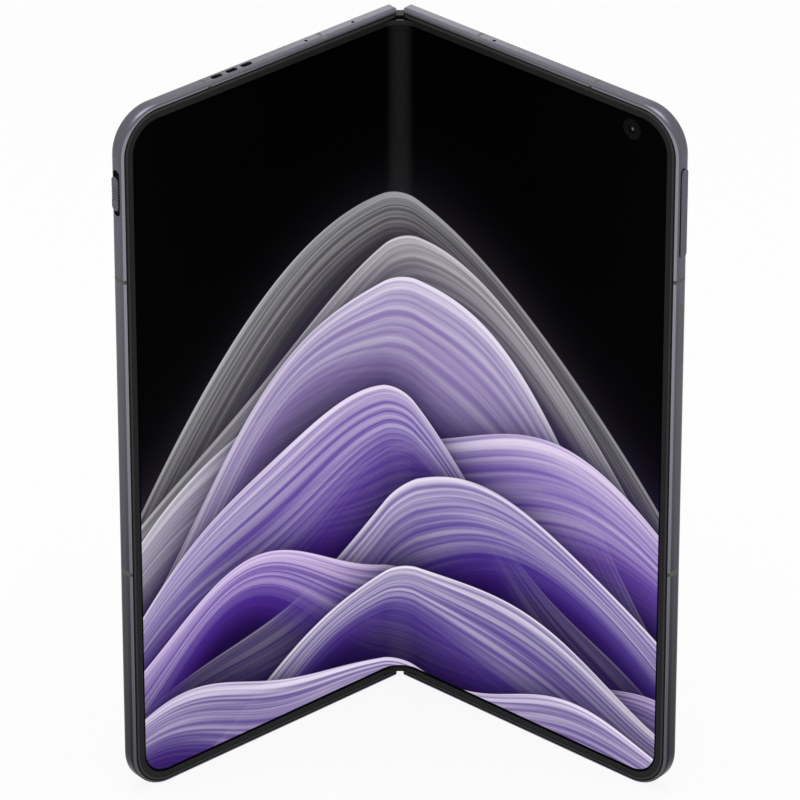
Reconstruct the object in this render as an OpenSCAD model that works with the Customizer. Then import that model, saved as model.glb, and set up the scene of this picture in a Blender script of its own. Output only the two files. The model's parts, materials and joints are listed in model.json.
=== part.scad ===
// Book-style folding smartphone, standing half open on its bottom edge.
// Millimetres. X: width, right side positive. Y: away from the viewer. Z: up.
// Each half is drawn flat open, as a right half: x runs outward from the fold
// line, y from the front of the bezel to the back, z up. It is then turned
// about its own fold axis into the half-open rest pose.

/* [Body] */
// Height of the phone, standing
body_h = 160.87; // [120:0.01:200]
// Width of one half, from the fold line to its outer edge
half_w = 72.79; // [50:0.01:90]
// Thickness of one half
half_t = 4.21; // [3.6:0.01:8]
// Radius of the outer corners
corner_r = 9.2; // [5:0.1:14]
// Rounding where the rim meets the bezel
edge_front_r = 0.5; // [0.1:0.05:0.8]
// Rounding where the rim meets the back
edge_back_r = 1.4; // [0.3:0.05:1.45]
// Wall of the metal rim
rim_wall = 2; // [1.6:0.1:3]
// How far the bezel stands proud of the metal rim
bezel_proud = 0.12; // [0:0.01:0.3]
// Back of the metal mid plate that carries battery and boards
mid_plate_t = 0.4; // [0.3:0.05:0.8]
// Thickness of the glass on the back of each half
back_glass_t = 0.6; // [0.4:0.05:0.9]
// Width of the metal that shows around the back glass
back_rim = 1.5; // [1.45:0.05:2]

/* [Pose] */
// Angle of each half from flat in the photographed pose
fold_angle = 40.4; // [20:0.1:80]

/* [Screen] */
// Depth of the screen below the front of the bezel
screen_recess = 0.3; // [0.1:0.05:0.5]
// Thickness of the folding screen
screen_t = 0.3; // [0.2:0.05:0.5]
// Metal that shows between rim edge and bezel
bezel_inset = 0.5; // [0.3:0.05:0.8]
// Distance from the outer edge to the lit screen
bezel_reach = 2.7; // [2.4:0.05:3.5]
// How far the screen slides in under the bezel
screen_lap = 1; // [0.9:0.05:1.2]
// Width of the groove between the metal rim and the bezel's lip
lip_in = 0.35; // [0.2:0.05:0.5]
// Width of the bezel's raised lip
lip_w = 0.45; // [0.3:0.05:0.7]
// How far the lip stands above the rest of the bezel
lip_rise = 0.1; // [0.05:0.01:0.15]
// Thickness of the plate that backs the screen
support_t = 0.6; // [0.4:0.05:0.9]
// Radius of the bend at the front of the screen in the rest pose
bend_r = 5.5; // [4:0.1:7]
// Slit between the bending strip and the flat screen
bend_slit = 0.02; // [0.01:0.01:0.05]
// Distance of the inner camera from the outer edge
inner_cam_in = 12; // [8:0.1:30]
// Distance of the inner camera below the top
inner_cam_drop = 6.3; // [6:0.1:12]
// Radius of the inner camera's hole
inner_cam_r = 2.3; // [1.5:0.1:3]

/* [Hinge] */
// Depth of the fold axes behind the front of the bezel
axis_depth = 0.6; // [0.5:0.01:0.65]
// Gap between the closed halves
closed_gap = 0.5; // [0.3:0.01:0.8]
// Gap from the fold line to the end face of each half
end_gap = 0.4; // [0.3:0.01:0.6]
// Outer radius of the spine about each fold axis
spine_r = 3; // [2.9:0.01:3.05]
// Running gap between spine and halves
spine_gap = 0.12; // [0.08:0.01:0.2]
// Wall of the spine's cover
spine_wall = 0.35; // [0.25:0.01:0.4]
// Depth of the spine's open front
spine_front = 1.3; // [1.28:0.01:1.4]
// Rim that stays above and below the spine
spine_end_wall = 1.6; // [1:0.1:1.8]
// Thickness of the spine's end caps
end_cap_t = 0.8; // [0.5:0.1:1.2]
// Length of the rail blocks at top and bottom
rail_block_l = 16; // [14:0.5:24]
// Distance of the rail blocks from the ends of the phone
rail_block_in = 14; // [8:0.5:25]
// Height of each curved rail
rail_h = 5; // [3:0.1:6]
// Inner radius of the curved rails
rail_r = 1.55; // [1.5:0.01:1.7]
// Thickness of the curved rails
rail_t = 0.6; // [0.4:0.01:0.65]
// Running gap of the rails in their grooves
rail_gap = 0.06; // [0.04:0.01:0.08]
// Rounding at the front of each half's end
nose_r = 1.5; // [0.8:0.1:1.8]
// Reach of the hinge wings from the fold line
wing_reach = 9; // [8:0.1:12]
// Radius of the screw heads
screw_head_r = 0.85; // [0.7:0.01:0.95]
// Radius of the screw shanks
screw_r = 0.4; // [0.3:0.01:0.5]

/* [Gears] */
// Tooth module of the synchronising gears
gear_module = 0.11; // [0.1:0.001:0.112]
// Teeth of each idler gear
idler_teeth = 10; // [10:1:10]
// Teeth that a full sector gear would have
sector_teeth = 20; // [20:1:20]
// Face width of the gears
gear_face = 1.6; // [1.2:0.1:2.2]
// Pressure angle
pressure_angle = 25; // [20:0.5:27]
// Play between meshing teeth
backlash = 0.02; // [0.01:0.001:0.03]
// Radius of the idler shafts
shaft_r = 0.2; // [0.15:0.01:0.22]
// Running gap of the idler shafts
shaft_gap = 0.02; // [0.01:0.005:0.04]
// Running gap between gear levels
level_gap = 0.15; // [0.1:0.01:0.3]
// Bearing plate beyond the gears
bearing_t = 2; // [1:0.1:4]

/* [Keys] */
// Width of the keys across the rim
key_w = 1.9; // [1.4:0.05:2.2]
// Depth of the keys' centre line behind the bezel's front
key_depth = 2.15; // [1.9:0.05:2.4]
// Running gap around the keys
key_gap = 0.08; // [0.05:0.01:0.15]
// Length of the power key
power_l = 14.4; // [10:0.1:18]
// Distance from the top to the power key's middle
power_drop = 50.6; // [47.5:0.1:70]
// Travel of the power key
power_travel = 0.2; // [0.15:0.01:0.25]
// Length of the volume rocker
volume_l = 20.2; // [14:0.1:24]
// Distance from the top to the volume rocker's middle
volume_drop = 22; // [20:0.1:26]
// How far the volume rocker stands proud
volume_proud = 0.35; // [0.1:0.01:0.6]
// Length of the alert slider's slot
slider_slot_l = 10.5; // [10:0.1:14]
// Length of the alert slider's knob
slider_l = 7.7; // [5:0.1:7.8]
// Distance from the top to the slot's middle
slider_drop = 17.4; // [15:0.1:28]
// How far the slider's knob stands proud
slider_proud = 0.45; // [0.2:0.01:0.8]

/* [Edge openings] */
// Distances of the antenna breaks below the top, on the sides
break_drops = [37.3, 106.6];
// Distance of the inner antenna break from the fold line, on top and bottom
break_in = 19.6; // [15:0.1:25]
// Distance of the outer antenna break from the fold line
break_out = 50.1; // [49.4:0.1:52]
// Width of the antenna breaks
break_w = 0.9; // [0.5:0.1:1.5]
// Distance of the first speaker slot's middle from the fold line
slot_first = 39; // [37:0.05:40]
// Distance between speaker slots
slot_pitch = 3.85; // [3.5:0.05:4.2]
// Length of the speaker slots
slot_l = 2.85; // [2:0.05:3.2]
// Width of the speaker slots
slot_w = 1.2; // [0.8:0.05:1.6]
// Distance of the inner microphone hole on top from the fold line
mic_in = 11; // [10:0.1:14]
// Distance of the outer microphone holes on top from the fold line
mic_out = 23.4; // [22:0.1:26]
// Radius of the microphone holes
mic_r = 0.4; // [0.2:0.05:0.6]
// Distance of the USB-C socket's middle from the fold line
usb_x = 29; // [25:0.1:30]
// Width of the USB-C socket's mouth
usb_w = 8.34; // [8.3:0.01:8.4]
// Height of the USB-C socket's mouth
usb_h = 2.56; // [2.5:0.01:2.6]
// Depth of the USB-C socket
usb_l = 7.3; // [6.5:0.1:8]
// Wall of the USB-C socket's shell
usb_wall = 0.15; // [0.12:0.01:0.18]
// Distance of the SIM tray's middle from the fold line
tray_x = 12.4; // [12.3:0.05:12.5]
// Width of the SIM tray's door
tray_w = 11.6; // [11:0.1:11.7]
// Length of the SIM tray
tray_l = 17; // [14:0.1:20]
// Thickness of the SIM tray
tray_t = 0.9; // [0.7:0.05:0.95]

/* [Inside] */
// Gap that adhesive and foam take up inside
pad = 0.05; // [0.02:0.01:0.1]
// Height of the right battery
right_battery_h = 62; // [40:1:63]
// Height of the left battery
left_battery_h = 92; // [50:1:94]
// Distance of the batteries and boards from the fold line
battery_x = 8; // [7.5:0.1:10]
// Distance of the batteries and boards from the outer edge
battery_side = 8.8; // [5:0.1:16]
// Height of the right battery above the bottom edge
right_battery_z = 24; // [22:0.5:25]
// Height of the left battery above the bottom edge
left_battery_z = 6; // [3:0.5:10]
// Thickness of the circuit boards
board_t = 0.7; // [0.5:0.05:1]
// Distance of the main board below the top
board_drop = 5; // [3:0.5:8]
// Distance of the sub board below the top
sub_board_drop = 24; // [22:0.5:30]
// Gap between battery and board
board_gap = 2; // [1:0.5:4]
// Thickness of the shield can
can_t = 1; // [0.8:0.05:1.1]
// Width of the shield can
can_w = 30; // [15:0.5:33]
// Height of the shield can
can_h = 40; // [20:0.5:50]
// Distance of the shield can from the main board's edges
can_in = 3.5; // [1:0.1:5]
// Wall of the shield can
can_wall = 0.2; // [0.15:0.01:0.3]
// Width of the haptic motor
haptic_w = 16; // [8:0.5:20]
// Height of the haptic motor
haptic_h = 8; // [5:0.5:9]
// Distance of the haptic motor's middle below the top
haptic_drop = 17; // [14:0.5:18]
// Depth of the top speaker's box
receiver_h = 4.6; // [3:0.1:5]
// Depth of the bottom speaker's box
speaker_h = 14; // [8:0.5:16]
// Length of the switches behind the slider and the power key
switch_l = 12; // [6:0.5:13]
// Width of the switches behind the keys
switch_w = 1.6; // [1.2:0.1:1.8]

/* [Rear camera] */
// Distance of the camera island's middle from the outer edge
island_in = 17.8; // [16:0.1:22]
// Distance from the top to the middle of the island
island_drop = 31; // [29:0.1:36]
// Width of the island
island_w = 22; // [20:0.5:24]
// Distance between the lenses
lens_pitch = 15; // [14:0.1:16]
// How far the island stands out of the back
island_proud = 1.8; // [1.2:0.1:2.5]
// Rounding of the island's edge
island_round = 0.6; // [0.3:0.05:1.1]
// Radius of the rear lenses
lens_r = 5.4; // [4:0.1:6]
// Width of the raised ring round each lens
lens_ring = 0.8; // [0.5:0.05:1.2]
// How far each ring stands out of the island
lens_ring_proud = 0.35; // [0.2:0.05:0.6]

/* [Hidden] */
$fn = 48;
axis_x = axis_depth + closed_gap / 2;
rim_front = bezel_proud;
seat_y = screen_recess + screen_t;
mid_front = seat_y + support_t;
mid_back = mid_front + mid_plate_t;
glass_front = half_t - back_glass_t;
room = glass_front - mid_back;
battery_w = half_w - battery_side - battery_x;
inner_cam_x = half_w - inner_cam_in;
island_x = half_w - island_in;
screen_inset = bezel_reach - screen_lap;
tail_gap = 0.1;
pocket_r = spine_r + spine_gap;
wing_front = seat_y + 0.05;
wing_back = wing_front + 0.55;
spine_z0 = spine_end_wall + 0.1;
spine_z1 = body_h - spine_z0;
beam_end = axis_x + pocket_r + 2.2;
ledge = 0.6;

// Corner where the two flat screens would meet in the rest pose
corner_run = (axis_x - (axis_depth - screen_recess) * sin(fold_angle)) / cos(fold_angle);
corner_y = axis_depth + corner_run * sin(fold_angle)
    - (axis_depth - screen_recess) * cos(fold_angle);
bend_run = bend_r * tan(fold_angle);
screen_x0 = axis_x + bend_run - corner_run;
tail_end = screen_x0 + 1;
bend_cy = corner_y - bend_r / cos(fold_angle);

// The fold line stands so far back that the footprint is centred on Y
y_min = axis_depth - edge_front_r - (half_w - edge_front_r - axis_x) * sin(fold_angle)
    - (axis_depth - edge_front_r - rim_front) * cos(fold_angle);
y_max = axis_depth + max(spine_r, edge_front_r
    + (axis_x - end_gap - edge_front_r) * sin(fold_angle)
    + (half_t - axis_depth - edge_front_r) * cos(fold_angle));
y_home = -(y_min + y_max) / 2;

// Gear train
idler_r = gear_module * idler_teeth / 2;
sector_r = gear_module * sector_teeth / 2;
train_y = axis_depth + sqrt(pow(sector_r + idler_r, 2) - pow(3 * idler_r - axis_x, 2));
outer_x = 3 * idler_r;
inner_x = idler_r;
mesh_dir = atan2(train_y - axis_depth, outer_x - axis_x);
tooth_step = 360 / sector_teeth;
addendum = 0.85 * gear_module;
dedendum = 1.15 * gear_module;
train_z = body_h / 2;
level_step = gear_face + level_gap;
train_half = gear_face * 1.5 + level_gap * 2;

// Phase of each gear in the rest pose, carried along the train from the left
function mate(dir, phase, n1, n2) = dir + 180 + 180 / n2 - (phase - dir) * n1 / n2;
first_tooth = mesh_dir - tooth_step;
phase_left = 180 - first_tooth + fold_angle;
phase_outer_left = mate(180 - mesh_dir, phase_left, sector_teeth, idler_teeth);
phase_inner_left = mate(0, phase_outer_left, idler_teeth, idler_teeth);
phase_inner_right = mate(0, phase_inner_left, idler_teeth, idler_teeth);
phase_outer_right = mate(0, phase_inner_right, idler_teeth, idler_teeth);
phase_right = mate(mesh_dir + 180, phase_outer_right, idler_teeth, sector_teeth);
shift_right = phase_right + fold_angle - first_tooth + tooth_step / 2;
first_tooth_right = first_tooth - tooth_step / 2
    + shift_right - tooth_step * floor(shift_right / tooth_step);

// Placing

module at_home() {
    translate([0, y_home, 0]) children();
}

module on_right() {
    at_home()
        translate([axis_x, axis_depth, 0])
            rotate([0, 0, -fold_angle])
                translate([-axis_x, -axis_depth, 0])
                    children();
}

module on_left() {
    at_home()
        translate([-axis_x, axis_depth, 0])
            rotate([0, 0, fold_angle])
                translate([axis_x, -axis_depth, 0])
                    mirror([1, 0, 0])
                        children();
}

// Lays an outline drawn in X and Z at depth y0, t thick
module slab(y0, t) {
    translate([0, y0 + t, 0]) rotate([90, 0, 0]) linear_extrude(t) children();
}

// Flat outlines

// Outline of a half, drawn in from the outer edge, from x0 outward
module half_outline(inset, x0) {
    r = max(corner_r - inset, 0.3);
    xo = half_w - inset;
    translate([x0, inset]) square([xo - r - x0, body_h - 2 * inset]);
    translate([x0, inset + r]) square([xo - x0, body_h - 2 * (inset + r)]);
    for (z = [inset + r, body_h - inset - r])
        translate([xo - r, z]) circle(r);
}

// Slot with round ends, l long in its own x, w wide
module slot2d(l, w) {
    square([l - w, w], center = true);
    for (s = [-1, 1]) translate([s * (l - w) / 2, 0]) circle(w / 2);
}

// Rectangle with round corners, from its lower left corner
module soft_rect(w, h, r) {
    translate([r, 0]) square([w - 2 * r, h]);
    translate([0, r]) square([w, h - 2 * r]);
    for (x = [r, w - r], z = [r, h - r]) translate([x, z]) circle(r);
}

// Section of the rim: x is the distance in from the outer edge, y the depth
module rim_section() {
    difference() {
        union() {
            translate([edge_front_r, rim_front])
                square([rim_wall - edge_front_r, half_t - rim_front]);
            translate([0, rim_front + edge_front_r])
                square([rim_wall, half_t - rim_front - edge_front_r - edge_back_r]);
            translate([edge_front_r, rim_front + edge_front_r]) circle(edge_front_r);
        }
        translate([-1, half_t - edge_back_r]) square([edge_back_r + 1, edge_back_r + 1]);
        translate([bezel_inset, -1]) square([rim_wall, 1 + seat_y]);
        translate([back_rim, glass_front]) square([rim_wall, back_glass_t + 1]);
    }
    intersection() {
        translate([edge_back_r, half_t - edge_back_r]) circle(edge_back_r);
        translate([0, half_t - edge_back_r]) square([edge_back_r, edge_back_r]);
    }
}

// Carries a section round the outer side, both corners, top and bottom
module round_rim(x0) {
    translate([half_w, 0, corner_r])
        linear_extrude(body_h - 2 * corner_r) mirror([1, 0]) children();
    for (top = [0, 1]) {
        translate([0, 0, top * body_h]) mirror([0, 0, top]) {
            translate([x0, 0, 0]) mirror([0, 0, 1]) rotate([0, 90, 0])
                linear_extrude(half_w - corner_r - x0) children();
            translate([half_w - corner_r, 0, corner_r]) rotate([-90, 0, 0])
                rotate_extrude(angle = 90)
                    translate([corner_r, 0]) mirror([1, 0]) children();
        }
    }
}

// Hinge side of a half

// The end of a half above and below the spine, seen from the top
module nose_section(front, back, reach) {
    intersection() {
        union() {
            translate([end_gap + nose_r, 0]) square([reach, half_t]);
            translate([end_gap, nose_r]) square([nose_r, half_t - nose_r]);
            translate([end_gap + nose_r, nose_r]) circle(nose_r);
        }
        translate([0, front]) square([reach, back - front]);
    }
}

module rim_end() {
    linear_extrude(spine_end_wall) difference() {
        nose_section(seat_y + 0.02, half_t, beam_end);
        back_corner();
    }
    intersection() {
        linear_extrude(bezel_inset) nose_section(rim_front, seat_y + 0.5, beam_end);
        mirror([0, 0, 1]) rotate([0, 90, 0]) linear_extrude(beam_end) rim_section();
    }
}

// What the rounding takes off the back corner of the end
module back_corner() {
    r = edge_front_r;
    difference() {
        translate([end_gap - 1, half_t - r]) square([1 + r, r + 1]);
        translate([end_gap + r, half_t - r]) circle(r);
    }
}

// The lip that covers the spine when the phone lies open
module lip_section() {
    difference() {
        translate([end_gap, mid_front])
            square([beam_end - end_gap, half_t - mid_front]);
        translate([axis_x, axis_depth]) circle(pocket_r);
        square([axis_x + pocket_r, mid_back]);
        back_corner();
    }
    translate([beam_end, mid_front]) square([ledge, glass_front - mid_front]);
}

module antenna_slots(grow) {
    for (d = break_drops)
        translate([half_w - rim_wall - 1, -1, body_h - d - break_w / 2 - grow])
            cube([rim_wall + 2, half_t + 2, break_w + 2 * grow]);
    for (x = [break_in, break_out], top = [0, 1])
        translate([x - break_w / 2 - grow, -1, top * body_h - rim_wall - 1])
            cube([break_w + 2 * grow, half_t + 2, 2 * rim_wall + 2]);
}

module frame_body() {
    difference() {
        union() {
            round_rim(beam_end - 0.5) rim_section();
            slab(mid_front, mid_plate_t) half_outline(rim_wall - 0.1, beam_end - 0.5);
            translate([0, 0, spine_end_wall])
                linear_extrude(body_h - 2 * spine_end_wall) lip_section();
            for (top = [0, 1])
                translate([0, 0, top * body_h]) mirror([0, 0, top]) rim_end();
        }
        end_edges();
        intersection() {
            round_rim(beam_end) rim_section();
            antenna_slots(0);
        }
        screw_holes();
    }
}

// Rounds the outer edges of the rim's ends like the rest of the rim
module end_edges() {
    for (top = [0, 1])
        translate([end_gap - 1, 0, top * body_h]) mirror([0, 0, top])
            mirror([0, 0, 1]) rotate([0, 90, 0]) linear_extrude(beam_end - end_gap + 1)
                difference() {
                    translate([-1, half_t - edge_back_r])
                        square([edge_back_r + 1, edge_back_r + 1]);
                    translate([edge_back_r, half_t - edge_back_r]) circle(edge_back_r);
                }
}

module antenna_breaks() {
    intersection() {
        round_rim(beam_end) rim_section();
        antenna_slots(0);
    }
}

// Section of the bezel: x is the distance in from the outer edge
module bezel_section() {
    lip = bezel_inset + lip_in;
    polygon([
        [bezel_inset, screen_recess], [lip - lip_rise, screen_recess], [lip + lip_rise, 0],
        [lip + lip_w, 0], [lip + lip_w + lip_rise, lip_rise], [bezel_reach, lip_rise],
        [bezel_reach, screen_recess],
        [screen_inset, screen_recess], [screen_inset, seat_y], [bezel_inset, seat_y]
    ]);
}

module bezel_body() {
    round_rim(screen_x0 + bend_slit) bezel_section();
    for (top = [0, 1])
        translate([0, 0, top * body_h]) mirror([0, 0, top]) bezel_tail();
}

// The bezel runs on in front of the rim's end, outside the bending strip
module bezel_tail() {
    intersection() {
        linear_extrude(screen_inset - tail_gap) nose_section(0, seat_y, tail_end);
        mirror([0, 0, 1]) rotate([0, 90, 0]) linear_extrude(tail_end) bezel_section();
    }
}

module screen_body() {
    slab(screen_recess, screen_t) half_outline(screen_inset, screen_x0 + bend_slit);
}

module support_plate() {
    slab(seat_y, support_t) half_outline(rim_wall + pad, wing_reach + pad);
}

function wing_screws() = [
    for (z = [0.08, 0.3, 0.7, 0.92]) [wing_reach - 1.6, body_h * z],
    [wing_reach - 1.6, train_z - 3.5], [wing_reach - 1.6, train_z + 3.5]
];

module screw_holes() {
    for (p = wing_screws())
        translate([p[0], mid_front - 0.5, p[1]])
            rotate([-90, 0, 0]) cylinder(r = screw_r + 0.02, h = mid_plate_t + 1);
}

module screws() {
    for (p = wing_screws())
        translate([p[0], wing_front, p[1]]) rotate([-90, 0, 0]) {
            difference() {
                cylinder(r = screw_head_r, h = 0.25);
                translate([0, 0, -1]) cylinder(r = 0.3, h = 1.15, $fn = 6);
            }
            cylinder(r = screw_r, h = mid_back - wing_front);
        }
}

module wing_screw_cuts() {
    for (p = wing_screws())
        translate([p[0], wing_front - 1, p[1]]) rotate([-90, 0, 0]) {
            cylinder(r = screw_head_r + 0.02, h = 1.25);
            cylinder(r = screw_r + 0.02, h = 3);
        }
}

// Leaf of the hinge: a round nose about the fold axis and a flat plate
module wing_section() {
    r = wing_back - axis_depth;
    intersection() {
        translate([axis_x, axis_depth]) circle(r);
        translate([0, wing_front]) square([axis_x, r]);
    }
    translate([axis_x, wing_front]) square([wing_reach - axis_x, wing_back - wing_front]);
}

// Ring about the fold axis, cut to the angles from a0 to a1
module arc_section(r0, r1, a0, a1) {
    reach = r1 * 3;
    translate([axis_x, axis_depth]) intersection() {
        difference() {
            circle(r1);
            circle(r0);
        }
        polygon([
            [0, 0],
            for (k = [0:4]) reach * [cos(a0 + (a1 - a0) * k / 4), sin(a0 + (a1 - a0) * k / 4)]
        ]);
    }
}

function rail_level(side, z) = z + (side > 0 ? 1 : -1) * (rail_h / 2 + 1);
key_flange = 1.2;
nub_at = volume_l / 2 - 3.85;
fulcrum_r = 0.35;
tray_card_w = tray_w - 1.6;
reader_wall = 0.4;
switch_face = rim_wall + pad;
rail_mids = [rail_block_in + rail_block_l / 2, body_h - rail_block_in - rail_block_l / 2];

// Leaf with its curved rails; side is 1 on the right half and -1 on the left
module hinge_wing(side) {
    difference() {
        union() {
            translate([0, 0, spine_z0 + 1])
                linear_extrude(spine_z1 - spine_z0 - 2) wing_section();
            for (z = rail_mids)
                translate([0, 0, rail_level(side, z) - rail_h / 2]) linear_extrude(rail_h)
                    difference() {
                        arc_section(rail_r, rail_r + rail_t, 8, 145);
                        square([half_w, wing_front]);
                    }
        }
        translate([-1, 0, train_z - train_half - bearing_t])
            cube([half_w, half_t, 2 * (train_half + bearing_t)]);
        wing_screw_cuts();
    }
}

// Teeth

function roll(r, base) = sqrt(max(pow(r / base, 2) - 1, 0));
function involute(r, base) = roll(r, base) * 180 / PI - atan(roll(r, base));

// Half the angle that a tooth takes up at radius r
function half_tooth(r, pitch, n) =
    let (base = pitch * cos(pressure_angle))
    90 / n - backlash / pitch * 45 / PI + involute(pitch, base) - involute(r, base);

module tooth(n) {
    pitch = gear_module * n / 2;
    r0 = pitch - dedendum - 0.02;
    r1 = pitch + addendum;
    radii = [for (k = [0:5]) r0 + (r1 - r0) * k / 5];
    polygon(concat(
        [for (r = radii) let (a = half_tooth(r, pitch, n)) r * [cos(a), -sin(a)]],
        [for (k = [5:-1:0]) let (r = radii[k], a = half_tooth(r, pitch, n)) r * [cos(a), sin(a)]]
    ));
}

module idler_section(phase) {
    circle(gear_module * idler_teeth / 2 - dedendum);
    for (k = [0:idler_teeth - 1]) rotate(phase + k * 360 / idler_teeth) tooth(idler_teeth);
}

// An idler on its shaft; low and high are the gear levels that it fills
module idler(x, phase, low, high) {
    at_home() translate([x, train_y, train_z]) {
        translate([0, 0, low * level_step - gear_face / 2])
            linear_extrude((high - low) * level_step + gear_face) idler_section(phase);
        translate([0, 0, -train_half - bearing_t + 0.4])
            cylinder(r = shaft_r, h = 2 * (train_half + bearing_t) - 0.8);
    }
}

// Toothed leaf: level -1 is the lower one; first is the angle of its first tooth
module gear_sector(level, first) {
    low = train_z + level * level_step - gear_face / 2;
    root = sector_r - dedendum;
    difference() {
        union() {
            translate([0, 0, low]) linear_extrude(gear_face) difference() {
                union() {
                    arc_section(0, root, 25, 180);
                    translate([axis_x, axis_depth])
                        for (k = [0:7]) rotate(first + k * tooth_step) tooth(sector_teeth);
                    translate([axis_x, wing_front])
                        square([wing_reach - axis_x, wing_back - wing_front]);
                }
                translate([-half_w, wing_front - 5]) square([2 * half_w, 5]);
            }
            translate([wing_reach - 4, wing_front, train_z - train_half - bearing_t + pad])
                cube([4, wing_back - wing_front, 2 * (train_half + bearing_t - pad)]);
        }
        wing_screw_cuts();
    }
}

// Spine

// Two discs about the fold axes, run together
module spine_disc(r) {
    for (s = [-1, 1]) translate([s * axis_x, axis_depth]) circle(r);
    translate([-axis_x, axis_depth]) square([2 * axis_x, r]);
}

module spine_section(r) {
    intersection() {
        spine_disc(r);
        translate([-half_w, spine_front]) square([2 * half_w, half_w]);
    }
}

module spine_cover() {
    color([0.2, 0.2, 0.22]) at_home()
        translate([0, 0, spine_z0 + end_cap_t])
            linear_extrude(spine_z1 - spine_z0 - 2 * end_cap_t) difference() {
                spine_section(spine_r);
                spine_disc(spine_r - spine_wall);
            }
}

module spine_end_caps() {
    color([0.28, 0.28, 0.3]) at_home()
        for (z = [spine_z0, spine_z1 - end_cap_t])
            translate([0, 0, z]) linear_extrude(end_cap_t) spine_section(spine_r);
}

module hinge_base_rails() {
    color([0.6, 0.6, 0.62]) at_home()
        for (z = rail_mids)
            difference() {
                translate([0, 0, z - rail_block_l / 2])
                    linear_extrude(rail_block_l) spine_section(spine_r - spine_wall);
                for (side = [-1, 1])
                    translate([0, 0, rail_level(side, z) - rail_h / 2 - rail_gap])
                        mirror([side > 0 ? 0 : 1, 0, 0])
                            linear_extrude(rail_h + 2 * rail_gap)
                                arc_section(rail_r - rail_gap, rail_r + rail_t + rail_gap, -5, 185);
            }
}

module hinge_base_gears() {
    reach = train_half + bearing_t;
    color([0.55, 0.55, 0.58]) at_home()
        difference() {
            translate([0, 0, train_z - reach])
                linear_extrude(2 * reach) spine_section(spine_r - spine_wall);
            translate([-half_w, -half_w + train_y + idler_r + addendum + 0.06, train_z - train_half])
                cube([2 * half_w, half_w, 2 * train_half]);
            for (x = [-outer_x, -inner_x, inner_x, outer_x])
                translate([x, train_y, train_z - reach + 0.4 - 0.05])
                    cylinder(r = shaft_r + shaft_gap, h = 2 * reach - 0.7);
        }
}

module idler_outer_left() {
    color([0.8, 0.75, 0.5]) idler(-outer_x, phase_outer_left, -1, 0);
}

module idler_inner_left() {
    color([0.8, 0.7, 0.4]) idler(-inner_x, phase_inner_left, 0, 0);
}

module idler_inner_right() {
    color([0.8, 0.75, 0.5]) idler(inner_x, phase_inner_right, 0, 0);
}

module idler_outer_right() {
    color([0.8, 0.7, 0.4]) idler(outer_x, phase_outer_right, 0, 1);
}

// Ring about the middle of the bend, between the ends of the flat screens
module bend_section(r0, r1) {
    reach = 2 * bend_r;
    slit = bend_slit * 180 / PI / bend_r;
    translate([0, bend_cy]) intersection() {
        difference() {
            circle(r1);
            circle(r0);
        }
        polygon([
            [0, 0],
            reach * [sin(fold_angle - slit), cos(fold_angle - slit)],
            reach * [0, 1.2],
            reach * [-sin(fold_angle - slit), cos(fold_angle - slit)]
        ]);
    }
}

module display_bend() {
    color([0.15, 0.1, 0.3]) at_home()
        translate([0, 0, screen_inset])
            linear_extrude(body_h - 2 * screen_inset) bend_section(bend_r, bend_r + screen_t);
}

module bezel_bend() {
    face_r = bend_r - screen_recess + lip_rise;
    color([0.16, 0.16, 0.16]) at_home()
        for (top = [0, 1])
            translate([0, 0, top * body_h]) mirror([0, 0, top]) translate([0, 0, screen_inset])
                linear_extrude(bezel_reach - screen_inset) bend_section(face_r, bend_r);
}

// Keys and what lies behind them

// A slot with round ends in the outer side: l long, w wide, from depth d0 in to d1
module side_slot(drop, l, w, d0, d1) {
    translate([half_w - d1, key_depth, body_h - drop]) rotate([0, 90, 0])
        linear_extrude(d1 - d0) slot2d(l, w);
}

module key_cut(drop, l) {
    side_slot(drop, l + 2 * key_gap, key_w + 2 * key_gap, -1, rim_wall + 0.2);
    side_slot(drop, l + 1.2 + 2 * key_gap, key_w + 0.5 + 2 * key_gap,
        key_flange - 0.3, rim_wall + 0.2);
}

// Key with a flange that holds it in the rim and a nub for each switch
module key_body(drop, l, proud, nubs, nub_end) {
    side_slot(drop, l, key_w, -proud, key_flange);
    side_slot(drop, l + 1.2, key_w + 0.5, key_flange, key_flange + 0.4);
    for (s = nubs) side_slot(drop + s, 1.6, 1, key_flange + 0.4, nub_end);
}

// Left half

module left_frame() {
    color([0.3, 0.29, 0.33]) on_left() difference() {
        frame_body();
        side_slot(slider_drop, slider_slot_l, key_w + 2 * key_gap, -1, 0.8);
        side_slot(slider_drop, slider_slot_l - 2, 1, -1, rim_wall + 0.2);
        side_slot(slider_drop, slider_slot_l, key_w + 2 * key_gap, rim_wall, rim_wall + 0.7);
        for (k = [0:2])
            translate([slot_first + k * slot_pitch, key_depth, body_h - rim_wall - 0.2])
                linear_extrude(rim_wall + 1) slot2d(slot_l, slot_w);
        for (x = [mic_in, mic_out])
            translate([x, key_depth, body_h - rim_wall - 0.2]) cylinder(r = mic_r, h = rim_wall + 1);
        translate([break_in + 7, key_depth, -1]) cylinder(r = mic_r, h = rim_wall + 1.2);
    }
}

module left_antenna_breaks() {
    color([0.2, 0.2, 0.22]) on_left() antenna_breaks();
}

module left_bezel() {
    color([0.16, 0.16, 0.16]) on_left() bezel_body();
}

module left_display() {
    color([0.15, 0.1, 0.3]) on_left() screen_body();
}

module left_support_plate() {
    color([0.1, 0.1, 0.1]) on_left() support_plate();
}

module left_hinge_wing() {
    color([0.65, 0.65, 0.68]) on_left() hinge_wing(-1);
}

module left_gear_sector() {
    color([0.75, 0.6, 0.35]) on_left() gear_sector(-1, first_tooth);
}

module left_screws() {
    color([0.5, 0.5, 0.5]) on_left() screws();
}

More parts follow.
